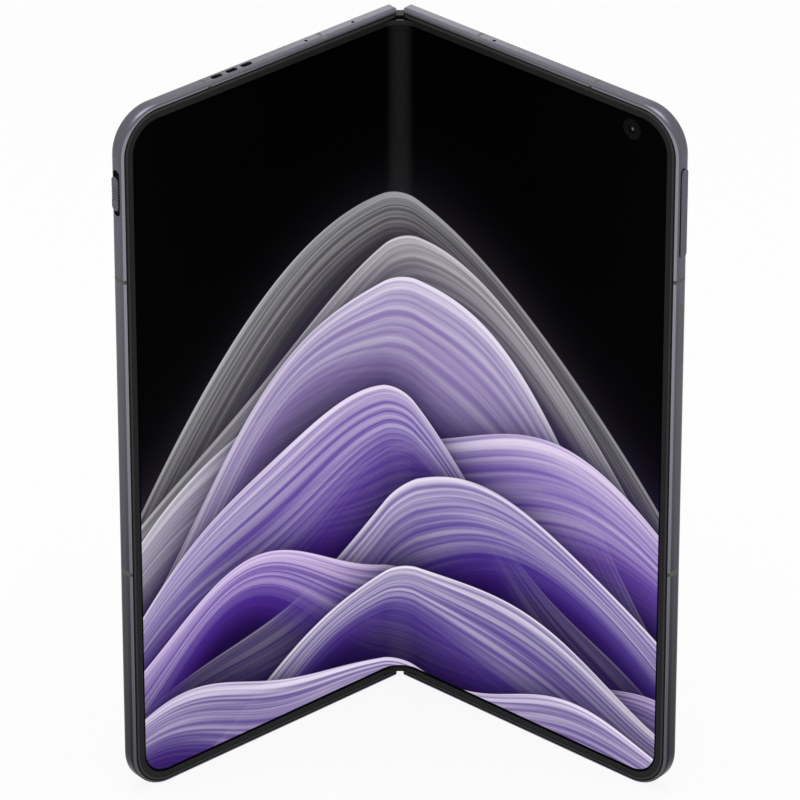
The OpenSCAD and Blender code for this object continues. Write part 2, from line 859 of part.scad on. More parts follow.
module cover_display() {
    color([0.08, 0.08, 0.1]) on_left() difference() {
        slab(glass_front, back_glass_t) half_outline(back_rim + pad, beam_end + pad);
        translate([cover_cam_x, 0, cover_cam_z]) rotate([-90, 0, 0]) cylinder(r = 1.9, h = 10);
    }
}

cover_cam_x = (beam_end + half_w) / 2;
cover_cam_z = body_h - 9.9;

module cover_camera() {
    color([0.05, 0.05, 0.06]) on_left() translate([cover_cam_x, 0, cover_cam_z]) rotate([-90, 0, 0]) {
        translate([0, 0, half_t - 0.2]) cylinder(r = 1.85, h = 0.15);
        translate([0, 0, glass_front - pad]) cylinder(r = 1.5, h = half_t - 0.2 - glass_front + pad);
        translate([-2.5, -2.5, mid_back]) cube([5, 5, room - pad]);
    }
}

module battery(h, z) {
    slab(mid_back, room - pad) translate([battery_x, z]) soft_rect(battery_w, h, 1.5);
}

module left_battery() {
    color([0.2, 0.2, 0.2]) on_left() battery(left_battery_h, left_battery_z);
}

module sub_board() {
    z = left_battery_z + left_battery_h + board_gap;
    color([0.05, 0.3, 0.15]) on_left() slab(mid_back, board_t)
        translate([battery_x, z]) soft_rect(battery_w, body_h - z - sub_board_drop, 1);
}

module top_speaker() {
    color([0.12, 0.12, 0.12]) on_left()
        slab(mid_back, room - pad)
            translate([slot_first - slot_l, body_h - rim_wall - pad - receiver_h])
                soft_rect(2 * slot_pitch + 2 * slot_l, receiver_h, 0.6);
}

module haptic_motor() {
    color([0.6, 0.6, 0.6]) on_left()
        slab(mid_back, room - pad)
            translate([battery_x + pad, body_h - haptic_drop - haptic_h / 2])
                soft_rect(haptic_w, haptic_h, 0.6);
}

module alert_slider() {
    color([0.35, 0.34, 0.38]) on_left() difference() {
        union() {
            side_slot(slider_drop, slider_l, key_w, -slider_proud, 0.7);
            side_slot(slider_drop, slider_slot_l - 4.8, 0.84, 0.7, rim_wall + 0.3);
            side_slot(slider_drop, slider_slot_l - 4.2, 1.7, rim_wall + 0.1, rim_wall + 0.5);
        }
        for (k = [-2:2])
            translate([half_w + slider_proud - 0.12, 0, body_h - slider_drop + k * 0.6 - 0.12])
                cube([1, half_t, 0.24]);
    }
}

module slider_switch() {
    color([0.7, 0.7, 0.7]) on_left()
        translate([half_w - rim_wall - 0.6 - switch_w, mid_back, body_h - slider_drop - switch_l / 2])
            cube([switch_w, room - pad, switch_l]);
}

// Right half

module usb_shell(w, h, z0, l) {
    translate([usb_x, key_depth, z0]) linear_extrude(l) slot2d(w, h);
}

module tray_slot(grow, z0, l, w, t) {
    translate([tray_x - w / 2 - grow, key_depth - t / 2 - grow, z0])
        cube([w + 2 * grow, t + 2 * grow, l]);
}

module right_frame() {
    color([0.3, 0.29, 0.33]) on_right() difference() {
        frame_body();
        key_cut(power_drop, power_l);
        key_cut(volume_drop, volume_l);
        translate([mic_out, key_depth, body_h - rim_wall - 0.2]) cylinder(r = mic_r, h = rim_wall + 1);
        usb_shell(usb_w + 2 * usb_wall + 0.04, usb_h + 2 * usb_wall + 0.04, -1, usb_l + 1.2);
        for (k = [0:2])
            translate([slot_first + k * slot_pitch, key_depth, -1])
                linear_extrude(rim_wall + 1.2) slot2d(slot_l, slot_w);
        translate([tray_x, key_depth, -1]) linear_extrude(rim_wall + 1.2)
            slot2d(tray_w + 2 * key_gap, key_w + 2 * key_gap);
        inner_cam_hole(inner_cam_r + 1);
    }
}

module inner_cam_hole(r) {
    translate([inner_cam_x, -1, body_h - inner_cam_drop])
        rotate([-90, 0, 0]) cylinder(r = r, h = mid_back + 2);
}

module right_antenna_breaks() {
    color([0.2, 0.2, 0.22]) on_right() antenna_breaks();
}

module right_bezel() {
    color([0.16, 0.16, 0.16]) on_right() bezel_body();
}

module right_display() {
    color([0.15, 0.1, 0.3]) on_right() difference() {
        screen_body();
        inner_cam_hole(inner_cam_r);
    }
}

module right_support_plate() {
    color([0.1, 0.1, 0.1]) on_right() difference() {
        support_plate();
        inner_cam_hole(inner_cam_r + 1);
        usb_shell(usb_w + 1, usb_h + 0.6, -1, usb_l + 1.3);
    }
}

module right_hinge_wing() {
    color([0.65, 0.65, 0.68]) on_right() hinge_wing(1);
}

module right_gear_sector() {
    color([0.75, 0.6, 0.35]) on_right() gear_sector(1, first_tooth_right);
}

module right_screws() {
    color([0.5, 0.5, 0.5]) on_right() screws();
}

module island_outline(grow) {
    w = island_w + 2 * grow;
    translate([island_x, body_h - island_drop]) rotate(90)
        slot2d(2 * lens_pitch + w, w);
}

module rear_cover() {
    color([0.25, 0.24, 0.28]) on_right() difference() {
        slab(glass_front, back_glass_t) half_outline(back_rim + pad, beam_end + pad);
        slab(0, 10) island_outline(-1);
    }
}

module lens_spots() {
    for (k = [-1:1])
        translate([island_x, 0, body_h - island_drop + k * lens_pitch]) children();
}

flash_x = island_x + island_w / 2 - 3.4;
flash_z = body_h - island_drop + lens_pitch / 2;

// Section of the island: x from its middle line, y the depth
module island_section() {
    back = half_t + island_proud;
    w = island_w / 2;
    translate([0, glass_front]) square([w - 1 - pad, back_glass_t]);
    translate([0, half_t]) square([w, island_proud - island_round]);
    translate([0, half_t]) square([w - island_round, island_proud]);
    translate([w - island_round, back - island_round]) intersection() {
        circle(island_round);
        square(island_round);
    }
}

module camera_island() {
    color([0.3, 0.29, 0.33]) on_right() difference() {
        union() {
            for (s = [-1, 1])
                translate([island_x, 0, body_h - island_drop + s * lens_pitch])
                    rotate([-90, 0, 0]) rotate_extrude() island_section();
            translate([island_x, 0, body_h - island_drop - lens_pitch])
                linear_extrude(2 * lens_pitch) {
                    island_section();
                    mirror([1, 0]) island_section();
                }
            lens_spots() translate([0, half_t, 0]) rotate([-90, 0, 0])
                cylinder(r = lens_r + lens_ring, h = island_proud + lens_ring_proud);
        }
        lens_spots() rotate([-90, 0, 0]) cylinder(r = lens_r + pad, h = 20);
        translate([flash_x, 0, flash_z]) rotate([-90, 0, 0]) cylinder(r = 1.5 + pad, h = 20);
    }
}

module rear_lenses() {
    color([0.05, 0.05, 0.08]) on_right() lens_spots() rotate([-90, 0, 0])
        translate([0, 0, half_t + island_proud - 0.9]) cylinder(r = lens_r, h = 1);
}

module rear_camera_modules() {
    color([0.1, 0.1, 0.1]) on_right() lens_spots() rotate([-90, 0, 0])
        difference() {
            union() {
                translate([0, 0, glass_front - pad])
                    cylinder(r = lens_r - 0.6, h = half_t + island_proud - 0.9 - glass_front + pad);
                translate([-4.6, -4.6, mid_back + board_t]) cube([9.2, 9.2, room - board_t - pad]);
            }
            translate([0, 0, half_t + island_proud - 1.6]) cylinder(r = lens_r - 2.4, h = 2);
        }
}

module flash_lens() {
    color([0.95, 0.9, 0.7]) on_right() translate([flash_x, 0, flash_z]) rotate([-90, 0, 0])
        translate([0, 0, glass_front]) cylinder(r = 1.5, h = half_t + island_proud - glass_front);
}

module inner_camera() {
    color([0.05, 0.05, 0.06]) on_right() translate([inner_cam_x, 0, body_h - inner_cam_drop])
        rotate([-90, 0, 0]) difference() {
            union() {
                translate([0, 0, screen_recess + 0.02]) cylinder(r = inner_cam_r - 0.05, h = seat_y);
                translate([0, 0, seat_y]) cylinder(r = inner_cam_r + 0.6, h = mid_back - seat_y);
            }
            translate([0, 0, screen_recess - 0.5]) cylinder(r = 0.9, h = 0.7);
        }
}

board_z = right_battery_z + right_battery_h + board_gap;

module main_board() {
    color([0.05, 0.25, 0.15]) on_right() slab(mid_back, board_t)
        translate([battery_x, board_z])
            soft_rect(battery_w, body_h - board_z - board_drop, 2);
}

module shield_can() {
    color([0.75, 0.75, 0.78]) on_right() difference() {
        slab(mid_back + board_t, can_t)
            translate([battery_x + can_in, board_z + can_in]) soft_rect(can_w, can_h, 1);
        translate([battery_x + can_in + can_wall, mid_back + board_t - 1, board_z + can_in + can_wall])
            cube([can_w - 2 * can_wall, 1 + can_t - can_wall, can_h - 2 * can_wall]);
    }
}

module right_battery() {
    color([0.2, 0.2, 0.2]) on_right() battery(right_battery_h, right_battery_z);
}

module usb_port() {
    w = usb_w + 2 * usb_wall;
    h = usb_h + 2 * usb_wall;
    color([0.7, 0.7, 0.72]) on_right() {
        difference() {
            usb_shell(w, h, 0.15, usb_l);
            usb_shell(usb_w, usb_h, -1, usb_l);
        }
        translate([usb_x - 3.34, key_depth - 0.35, 1]) cube([6.68, 0.7, usb_l - 1.3]);
    }
}

module bottom_speaker() {
    color([0.12, 0.12, 0.12]) on_right()
        slab(mid_back, room - pad)
            translate([slot_first - slot_l, rim_wall + pad])
                soft_rect(2 * slot_pitch + 2 * slot_l, speaker_h, 0.6);
}

module sim_tray() {
    color([0.35, 0.34, 0.38]) on_right() difference() {
        union() {
            translate([tray_x, key_depth, 0.02]) linear_extrude(1.4) slot2d(tray_w, key_w);
            tray_slot(0, 1.4, tray_l - 1.4, tray_card_w, tray_t);
        }
        translate([tray_x + tray_w / 2 - 1.6, key_depth, -1]) cylinder(r = 0.4, h = 1.8);
        translate([tray_x - tray_w / 2 + 2, key_depth - tray_t / 2 + 0.3, 3])
            cube([tray_w - 4, tray_t, tray_l - 4.5]);
    }
}

module sim_reader() {
    color([0.7, 0.7, 0.72]) on_right() difference() {
        translate([tray_x - tray_card_w / 2 - 0.1 - reader_wall, mid_back, rim_wall + pad])
            cube([tray_card_w + 2 * (0.1 + reader_wall), room - pad, tray_l]);
        tray_slot(0.1, 0, tray_l + 0.3, tray_card_w, tray_t);
    }
}

module power_button() {
    color([0.35, 0.34, 0.38]) on_right()
        key_body(power_drop, power_l, 0.03, [0], switch_face - power_travel - 0.02);
}

module power_switch() {
    color([0.7, 0.7, 0.7]) on_right()
        translate([half_w - rim_wall - switch_w, mid_back, body_h - power_drop - switch_l / 2])
            cube([switch_w - pad, room - pad, switch_l]);
}

module volume_rocker() {
    color([0.35, 0.34, 0.38]) on_right() {
        key_body(volume_drop, volume_l, volume_proud, [-nub_at, nub_at],
            switch_face - power_travel);
        translate([half_w - key_flange - 0.2, key_depth - key_w / 2, body_h - volume_drop])
            rotate([-90, 0, 0]) cylinder(r = fulcrum_r, h = key_w);
    }
}

module volume_switches() {
    color([0.7, 0.7, 0.7]) on_right()
        for (s = [-1, 1])
            translate([half_w - rim_wall - switch_w, mid_back,
                body_h - volume_drop + s * nub_at - switch_l / 6])
                cube([switch_w - pad, room - pad, switch_l / 3]);
}

spine_cover();
spine_end_caps();
hinge_base_rails();
hinge_base_gears();
idler_outer_left();
idler_inner_left();
idler_inner_right();
idler_outer_right();
display_bend();
bezel_bend();
left_frame();
left_antenna_breaks();
left_bezel();
left_display();
left_support_plate();
left_hinge_wing();
left_gear_sector();
left_screws();
cover_display();
cover_camera();
left_battery();
sub_board();
top_speaker();
haptic_motor();
alert_slider();
slider_switch();
right_frame();
right_antenna_breaks();
right_bezel();
right_display();
right_support_plate();
right_hinge_wing();
right_gear_sector();
right_screws();
rear_cover();
camera_island();
rear_lenses();
rear_camera_modules();
flash_lens();
inner_camera();
main_board();
shield_can();
right_battery();
usb_port();
bottom_speaker();
sim_tray();
sim_reader();
power_button();
power_switch();
volume_rocker();
volume_switches();
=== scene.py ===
"""Looks of the foldable smartphone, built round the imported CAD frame. Metres, row frame."""

import json
from math import cos, pi, radians, sin, tan

import bmesh
import bpy
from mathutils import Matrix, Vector


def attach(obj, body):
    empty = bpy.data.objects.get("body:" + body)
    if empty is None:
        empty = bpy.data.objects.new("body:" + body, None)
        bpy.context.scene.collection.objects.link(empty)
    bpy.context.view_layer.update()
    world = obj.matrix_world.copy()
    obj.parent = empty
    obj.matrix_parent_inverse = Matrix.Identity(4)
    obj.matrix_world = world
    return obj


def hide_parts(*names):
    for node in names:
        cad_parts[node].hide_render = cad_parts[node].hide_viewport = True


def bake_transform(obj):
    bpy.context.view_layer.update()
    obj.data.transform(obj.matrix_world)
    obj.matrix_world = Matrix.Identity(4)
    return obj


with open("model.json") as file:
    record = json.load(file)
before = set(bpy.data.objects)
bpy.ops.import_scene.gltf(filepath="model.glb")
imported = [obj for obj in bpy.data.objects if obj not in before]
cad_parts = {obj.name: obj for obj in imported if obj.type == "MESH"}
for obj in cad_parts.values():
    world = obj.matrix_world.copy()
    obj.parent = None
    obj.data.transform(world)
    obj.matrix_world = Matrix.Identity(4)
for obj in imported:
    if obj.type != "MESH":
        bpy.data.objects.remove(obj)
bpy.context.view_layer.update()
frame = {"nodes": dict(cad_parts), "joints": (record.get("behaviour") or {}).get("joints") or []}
NODES = frame["nodes"]

# Fold axes and pose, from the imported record
FOLD = [j for j in frame["joints"] if j["name"] == "right_fold"][0]
ALPHA = radians(FOLD["range_deg"][1])
AXIS_X, AXIS_Y = FOLD["pos_m"][0], FOLD["pos_m"][1]
AXIS_DEPTH = 0.0006
Y_HOME = AXIS_Y - AXIS_DEPTH

# Sizes that the source also names, in metres
BODY_H = 0.16087
HALF_W = 0.07279
HALF_T = 0.00421
SCREEN_RECESS = 0.0003
SCREEN_T = 0.0003
BEND_R = 0.0055
BEND_SLIT = 0.00002
BEZEL_REACH = 0.0027
SCREEN_LAP = 0.001
LIP_RISE = 0.0001
CORNER_R = 0.0092
SCREEN_INSET = BEZEL_REACH - SCREEN_LAP
ISLAND_X = HALF_W - 0.0178
LENS_DEPTH = HALF_T + 0.0019
LENS_Z = BODY_H - 0.031
LENS_PITCH = 0.015
INNER_CAM_X = HALF_W - 0.012
INNER_CAM_Z = BODY_H - 0.0063
CORNER_RUN = (AXIS_X - (AXIS_DEPTH - SCREEN_RECESS) * sin(ALPHA)) / cos(ALPHA)
CORNER_Y = (AXIS_DEPTH + CORNER_RUN * sin(ALPHA)
            - (AXIS_DEPTH - SCREEN_RECESS) * cos(ALPHA))
SCREEN_X0 = AXIS_X + BEND_R * tan(ALPHA) - CORNER_RUN
BEND_CY = CORNER_Y - BEND_R / cos(ALPHA) + Y_HOME

# Camera, fitted to the outline of the object in the photograph
CAM_ELEVATION = radians(30.792)
CAM_DISTANCE = 1.6061
CAM_LENS = 350.13
CAM_AIM = Vector((0.0, 0.0, 0.08135))


def on_half(side, x, y, z):
    """A point of a half drawn flat open (x outward, y depth), turned into the rest pose."""
    dx = x - AXIS_X
    dy = y - AXIS_DEPTH
    return Vector((side * (AXIS_X + dx * cos(ALPHA) + dy * sin(ALPHA)),
                   AXIS_Y - dx * sin(ALPHA) + dy * cos(ALPHA), z))


# Node helpers

class Tree:
    """A material's node tree with short calls for the nodes used here."""

    def __init__(self, name):
        self.material = bpy.data.materials.new(name)
        self.material.use_nodes = True
        self.tree = self.material.node_tree
        self.tree.nodes.clear()
        self.out = self.tree.nodes.new("ShaderNodeOutputMaterial")

    def node(self, kind, **settings):
        made = self.tree.nodes.new(kind)
        for key, value in settings.items():
            setattr(made, key, value)
        return made

    def feed(self, socket, value):
        if isinstance(value, bpy.types.NodeSocket):
            self.tree.links.new(value, socket)
        else:
            socket.default_value = value

    def math(self, operation, a, b=0.0, clamp=False):
        made = self.node("ShaderNodeMath", operation=operation, use_clamp=clamp)
        self.feed(made.inputs[0], a)
        self.feed(made.inputs[1], b)
        return made.outputs[0]

    def ramp_between(self, value, low, high):
        """0 below low, 1 above high, smooth between."""
        made = self.node("ShaderNodeMapRange", interpolation_type="SMOOTHSTEP")
        self.feed(made.inputs["Value"], value)
        self.feed(made.inputs["From Min"], low)
        self.feed(made.inputs["From Max"], high)
        return made.outputs["Result"]

    def span(self, value, low, high):
        """A texture value from 0..1 spread linearly over low..high."""
        made = self.node("ShaderNodeMapRange")
        self.feed(made.inputs["Value"], value)
        made.inputs["To Min"].default_value = low
        made.inputs["To Max"].default_value = high
        return made.outputs["Result"]

    def mix(self, fac, a, b):
        made = self.node("ShaderNodeMix", data_type="RGBA")
        self.feed(made.inputs["Factor"], fac)
        self.feed(made.inputs["A"], a)
        self.feed(made.inputs["B"], b)
        return made.outputs["Result"]

    def place(self):
        """Rest position in the row frame, in metres."""
        return self.node("ShaderNodeTexCoord").outputs["Object"]

    def flat_half(self):
        """Signed distance from the fold, depth behind the front and height, as if the
        halves lay flat open."""
        parts = self.node("ShaderNodeSeparateXYZ")
        self.feed(parts.inputs[0], self.place())
        side = self.math("SIGN", parts.outputs["X"])
        out = self.math("SUBTRACT", self.math("ABSOLUTE", parts.outputs["X"]), AXIS_X)
        back = self.math("SUBTRACT", parts.outputs["Y"], AXIS_Y)
        across = self.math("ADD", self.math("MULTIPLY", out, cos(ALPHA)),
                           self.math("MULTIPLY", back, -sin(ALPHA)))
        depth = self.math("ADD", self.math("MULTIPLY", out, sin(ALPHA)),
                          self.math("MULTIPLY", back, cos(ALPHA)))
        across = self.math("MULTIPLY", self.math("ADD", across, AXIS_X), side)
        return across, self.math("ADD", depth, AXIS_DEPTH), parts.outputs["Z"]

    def facing_front(self):
        """1 where the skin of a half faces the way its screen does, and how far it faces up
        or down."""
        parts = self.node("ShaderNodeSeparateXYZ")
        self.feed(parts.inputs[0], self.place())
        normal = self.node("ShaderNodeSeparateXYZ")
        self.feed(normal.inputs[0], self.node("ShaderNodeTexCoord").outputs["Normal"])
        side = self.math("SIGN", parts.outputs["X"])
        inward = self.math("MULTIPLY", self.math("MULTIPLY", side, normal.outputs["X"]),
                           -sin(ALPHA))
        ahead = self.math("MULTIPLY", normal.outputs["Y"], -cos(ALPHA))
        return self.math("ADD", inward, ahead), self.math("ABSOLUTE", normal.outputs["Z"])

    def stretched(self, scale):
        made = self.node("ShaderNodeMapping")
        self.feed(made.inputs["Vector"], self.place())
        made.inputs["Scale"].default_value = scale
        return made.outputs["Vector"]

    def noise(self, scale, detail=3.0, vector=None):
        made = self.node("ShaderNodeTexNoise")
        self.feed(made.inputs["Vector"], self.place() if vector is None else vector)
        made.inputs["Scale"].default_value = scale
        made.inputs["Detail"].default_value = detail
        return made.outputs["Fac"]

    def crowned(self, depth, flat_from, lean):
        """The normal, leaning to the front of the half before the depth flat_from."""
        parts = self.node("ShaderNodeSeparateXYZ")
        self.feed(parts.inputs[0], self.place())
        ahead = self.node("ShaderNodeCombineXYZ")
        side = self.math("SIGN", parts.outputs["X"])
        self.feed(ahead.inputs["X"], self.math("MULTIPLY", side, -sin(ALPHA)))
        ahead.inputs["Y"].default_value = -cos(ALPHA)
        turned = self.node("ShaderNodeVectorTransform", vector_type="VECTOR",
                           convert_from="OBJECT", convert_to="WORLD")
        self.feed(turned.inputs[0], ahead.outputs["Vector"])
        amount = self.math("MULTIPLY", self.ramp_between(depth, flat_from, 0.0), lean)
        push = self.node("ShaderNodeVectorMath", operation="SCALE")
        self.feed(push.inputs[0], turned.outputs["Vector"])
        self.feed(push.inputs["Scale"], amount)
        total = self.node("ShaderNodeVectorMath", operation="ADD")
        self.feed(total.inputs[0], self.node("ShaderNodeNewGeometry").outputs["Normal"])
        self.feed(total.inputs[1], push.outputs["Vector"])
        unit = self.node("ShaderNodeVectorMath", operation="NORMALIZE")
        self.feed(unit.inputs[0], total.outputs["Vector"])
        return unit.outputs["Vector"]

    def bump(self, height, distance, strength=1.0, normal=None):
        made = self.node("ShaderNodeBump")
        if normal is not None:
            self.feed(made.inputs["Normal"], normal)
        self.feed(made.inputs["Height"], height)
        made.inputs["Distance"].default_value = distance
        made.inputs["Strength"].default_value = strength
        return made.outputs["Normal"]

    def turning_edge(self, radius):
        """Near 1 where the surface turns within radius, from the bevelled normal."""
        bevel = self.node("ShaderNodeBevel", samples=4)
        bevel.inputs["Radius"].default_value = radius
        geometry = self.node("ShaderNodeNewGeometry")
        dot = self.node("ShaderNodeVectorMath", operation="DOT_PRODUCT")
        self.feed(dot.inputs[0], bevel.outputs["Normal"])
        self.feed(dot.inputs[1], geometry.outputs["Normal"])
        return self.ramp_between(dot.outputs["Value"], 0.995, 0.93)

    def surface(self, **values):
        """A Principled shader. Spaces in socket names are written as underscores."""
        shader = self.node("ShaderNodeBsdfPrincipled")
        for key, value in values.items():
            self.feed(shader.inputs[key.replace("_", " ")], value)
        self.tree.links.new(shader.outputs["BSDF"], self.out.inputs["Surface"])
        return shader


def grey(level):
    return (level, level, level, 1.0)


def finish_nodes(nodes, material):
    """Gives CAD nodes this material in every slot."""
    for name in nodes:
        mesh = NODES[name].data
        if not mesh.materials:
            mesh.materials.append(material)
        for i in range(len(mesh.materials)):
            mesh.materials[i] = material


# Materials

# Painted shade: the metal's colour is painted darker from its head down to its foot, as
# light falls off downwards, so a part that is relit may want one tone here.
PAINTED_SHADE_FOOT = 0.16
PAINTED_SHADE_HEAD = 0.88
PAINTED_SHADE_SPAN = (-0.08, 0.8)
# Painted highlight on the chamfer of the upright fronts, dimmed towards the foot by painted
# shade.
CHAMFER_HIGHLIGHT_FOOT = (0.16, 0.155, 0.18, 1.0)
CHAMFER_HIGHLIGHT_HEAD = (0.42, 0.41, 0.47, 1.0)
# Lighter worn edges, which are also a painted highlight along every edge.
WEAR_AND_HIGHLIGHT_WIDTH = 0.00015
WEAR_AND_HIGHLIGHT_SHARE = 0.3
WEAR_AND_HIGHLIGHT_COLOUR = (0.5, 0.49, 0.55, 1.0)
CROWN_DEPTH = 0.0019

# Polymers
EROSION_SCALE = 6000.0
POLYMER_TINT = (1.0, 1.0, 1.03)
# Painted highlight on the bezel's raised lip, between these depths.
LIP_DEPTHS = (0.00007, 0.00002)
# Painted shade: the bezel is painted darker towards its foot, from this height up.
BEZEL_SHADE_FROM = -0.08


def anodised(name, base, roughness, lean=0.0, chamfer=0.0):
    """Bead-blasted, anodised aluminium: fine grain, painted shade that deepens downwards,
    lighter worn edges where the blasted skin turns that are partly a painted highlight, a
    normal that leans to the front like a faint crown, and a painted highlight on the chamfer
    along the upright fronts, dimmed downwards with the painted shade."""
    t = Tree(name)
    cloud = t.noise(55.0, 4.0)
    grain = t.noise(9000.0, 2.0)
    deep = tuple(PAINTED_SHADE_FOOT * c for c in base) + (1.0,)
    pale = tuple(PAINTED_SHADE_HEAD * c for c in base) + (1.0,)
    # Painted shade: the colour darkens from head to foot, as light falls off downwards.
    height = t.node("ShaderNodeSeparateXYZ")
    t.feed(height.inputs[0], t.place())
    painted_shade_height = t.math("ADD", t.math("MULTIPLY", height.outputs["Z"], 1.0 / BODY_H),
                 t.span(cloud, -0.06, 0.06))
    tone = t.mix(t.ramp_between(painted_shade_height, *PAINTED_SHADE_SPAN), deep, pale)
    # Lighter worn edges, partly a painted highlight on every turning edge.
    wear_and_highlight = t.math("MULTIPLY", t.turning_edge(WEAR_AND_HIGHLIGHT_WIDTH), WEAR_AND_HIGHLIGHT_SHARE)
    colour = t.mix(wear_and_highlight, tone, WEAR_AND_HIGHLIGHT_COLOUR)
    depth = t.flat_half()[1]
    # Painted highlight: upright faces that face the screen's way are painted lighter, dimmed
    # downwards with the painted shade.
    facing, upward = t.facing_front()
    cut = t.math("MULTIPLY", t.ramp_between(facing, 0.12, 0.4), t.ramp_between(upward, 0.7, 0.3))
    painted_highlight = t.mix(t.ramp_between(painted_shade_height, *PAINTED_SHADE_SPAN), CHAMFER_HIGHLIGHT_FOOT, CHAMFER_HIGHLIGHT_HEAD)
    colour = t.mix(t.math("MULTIPLY", cut, chamfer), colour, painted_highlight)
    rough = t.math("ADD", t.span(grain, roughness - 0.05, roughness + 0.05),
                   t.span(cloud, -0.03, 0.03))
    t.surface(Base_Color=colour, Metallic=1.0, Roughness=rough,
              Normal=t.bump(grain, 0.000004, 0.5, t.crowned(depth, CROWN_DEPTH, lean)))
    return t.material


def steel(name, base, roughness, grain_dir):
    """Ground or sintered steel with a directional grain."""
    t = Tree(name)
    lines = t.noise(2500.0, 3.0, t.stretched(grain_dir))
    cloud = t.noise(160.0, 3.0)
    deep = tuple(0.8 * c for c in base) + (1.0,)
    colour = t.mix(t.math("MULTIPLY", lines, cloud), deep, tuple(base) + (1.0,))
    t.surface(Base_Color=colour, Metallic=1.0,
              Roughness=t.span(lines, roughness - 0.08, roughness + 0.1),
              Normal=t.bump(lines, 0.000006, 0.6))
    return t.material


def polymer(name, level, roughness, gloss=0.5):
    """Matt moulded polymer: fine erosion texture, slight cloudiness."""
    t = Tree(name)
    grain = t.noise(EROSION_SCALE, 3.0)
    cloud = t.noise(90.0, 2.0)
    deep = tuple(0.85 * level * c for c in POLYMER_TINT) + (1.0,)
    pale = tuple(1.15 * level * c for c in POLYMER_TINT) + (1.0,)
    t.surface(Base_Color=t.mix(cloud, deep, pale),
              Roughness=t.span(grain, roughness - 0.07, roughness + 0.07),
              Specular_IOR_Level=gloss, Normal=t.bump(grain, 0.00001, 0.6))
    return t.material


def bezel_polymer(name, lip_highlight):
    """Soft polymer of the inner bezel: its raised lip is painted lighter as a painted highlight,
    and it is painted darker towards the bottom as painted shade.
    """
    t = Tree(name)
    grain = t.noise(EROSION_SCALE, 3.0)
    depth, up = t.flat_half()[1:]
    # Painted highlight: the raised lip is painted lighter.
    lip = t.ramp_between(depth, *LIP_DEPTHS)
    tone = t.mix(t.noise(90.0, 2.0), grey(0.012), grey(0.016))
    # Painted shade: the colour darkens towards the bottom.
    fall = t.ramp_between(up, BEZEL_SHADE_FROM, BODY_H)
    tone = t.mix(fall, grey(0.007), tone)
    t.surface(Base_Color=t.mix(t.math("MULTIPLY", lip, 0.8), tone, grey(lip_highlight)),
              Roughness=t.span(grain, 0.43, 0.57), Specular_IOR_Level=0.12,
              Normal=t.bump(grain, 0.00001, 0.6))
    return t.material


TOW_SCALE = 500.0


def carbon_weave():
    """Twill of carbon tows under a thin clear resin."""
    t = Tree("carbon_weave")
    across = t.node("ShaderNodeTexWave", bands_direction="X")
    t.feed(across.inputs["Vector"], t.place())
    across.inputs["Scale"].default_value = TOW_SCALE
    along = t.node("ShaderNodeTexWave", bands_direction="Z")
    t.feed(along.inputs["Vector"], t.place())
    along.inputs["Scale"].default_value = TOW_SCALE
    check = t.math("MULTIPLY", across.outputs["Fac"], along.outputs["Fac"])
    t.surface(Base_Color=t.mix(check, grey(0.012), grey(0.06)),
              Roughness=t.span(check, 0.3, 0.5), Coat_Weight=0.4,
              Normal=t.bump(check, 0.00002, 0.5))
    return t.material


def cover_glass():
    """Toughened glass over a switched-off panel: near black, faint coating tint."""
    t = Tree("cover_glass")
    smear = t.noise(45.0, 5.0)
    depth = t.noise(8.0, 2.0)
    t.surface(Base_Color=t.mix(depth, (0.004, 0.004, 0.006, 1.0), (0.008, 0.007, 0.012, 1.0)),
              Roughness=t.span(smear, 0.03, 0.1), Coat_Weight=0.6, Coat_Roughness=0.02,
              IOR=1.5)
    return t.material


def etched_glass():
    """Rear glass: dyed behind, finely etched face with a soft sheen."""
    t = Tree("etched_glass")
    grain = t.noise(7000.0, 3.0)
    cloud = t.noise(30.0, 3.0)
    t.surface(Base_Color=t.mix(cloud, (0.058, 0.054, 0.075, 1.0), (0.072, 0.067, 0.092, 1.0)),
              Metallic=0.35, Roughness=t.span(grain, 0.34, 0.44), Coat_Weight=0.25,
              Coat_Roughness=0.25, Normal=t.bump(grain, 0.000003, 0.5))
    return t.material


PUPIL = (0.0014, 0.0019)
RING_SOFT = 0.00005
BARREL_RINGS = [
    # inner radius, outer radius, level
    (0.0019, 0.0021, 0.05),
    (0.0032, 0.0034, 0.09),
    (0.0044, 0.0054, 0.012),
]


def lens_glass():
    """Coated lenses: the rings of the barrel show as tones round a black pupil."""
    t = Tree("lens_glass")
    far = 1.0
    for k in (-1, 0, 1):
        reach = t.node("ShaderNodeVectorMath", operation="DISTANCE")
        t.feed(reach.inputs[0], t.place())
        reach.inputs[1].default_value = on_half(1, ISLAND_X, LENS_DEPTH, LENS_Z + k * LENS_PITCH)
        far = t.math("MINIMUM", reach.outputs["Value"], far)
    glaze = t.mix(t.noise(120.0, 1.0), (0.004, 0.003, 0.010, 1.0), (0.010, 0.007, 0.028, 1.0))
    tone = t.mix(t.ramp_between(far, *PUPIL), grey(0.0004), glaze)
    for inner, outer, level in BARREL_RINGS:
        ring = t.math("MULTIPLY", t.ramp_between(far, inner - RING_SOFT, inner + RING_SOFT),
                      t.ramp_between(far, outer + RING_SOFT, outer - RING_SOFT))
        tone = t.mix(ring, tone, (level, level, 1.15 * level, 1.0))
    t.surface(Base_Color=tone, Roughness=t.span(t.noise(300.0), 0.015, 0.05),
              Specular_IOR_Level=0.3, Coat_Weight=0.15, Coat_Roughness=0.01)
    return t.material


def dark_window():
    """Window of the inner camera: black lacquer behind a matt cover, no stray light."""
    t = Tree("dark_window")
    smear = t.noise(400.0, 3.0)
    t.surface(Base_Color=t.mix(smear, grey(0.0022), grey(0.0034)),
              Roughness=t.span(smear, 0.24, 0.34), Specular_IOR_Level=0.04)
    return t.material


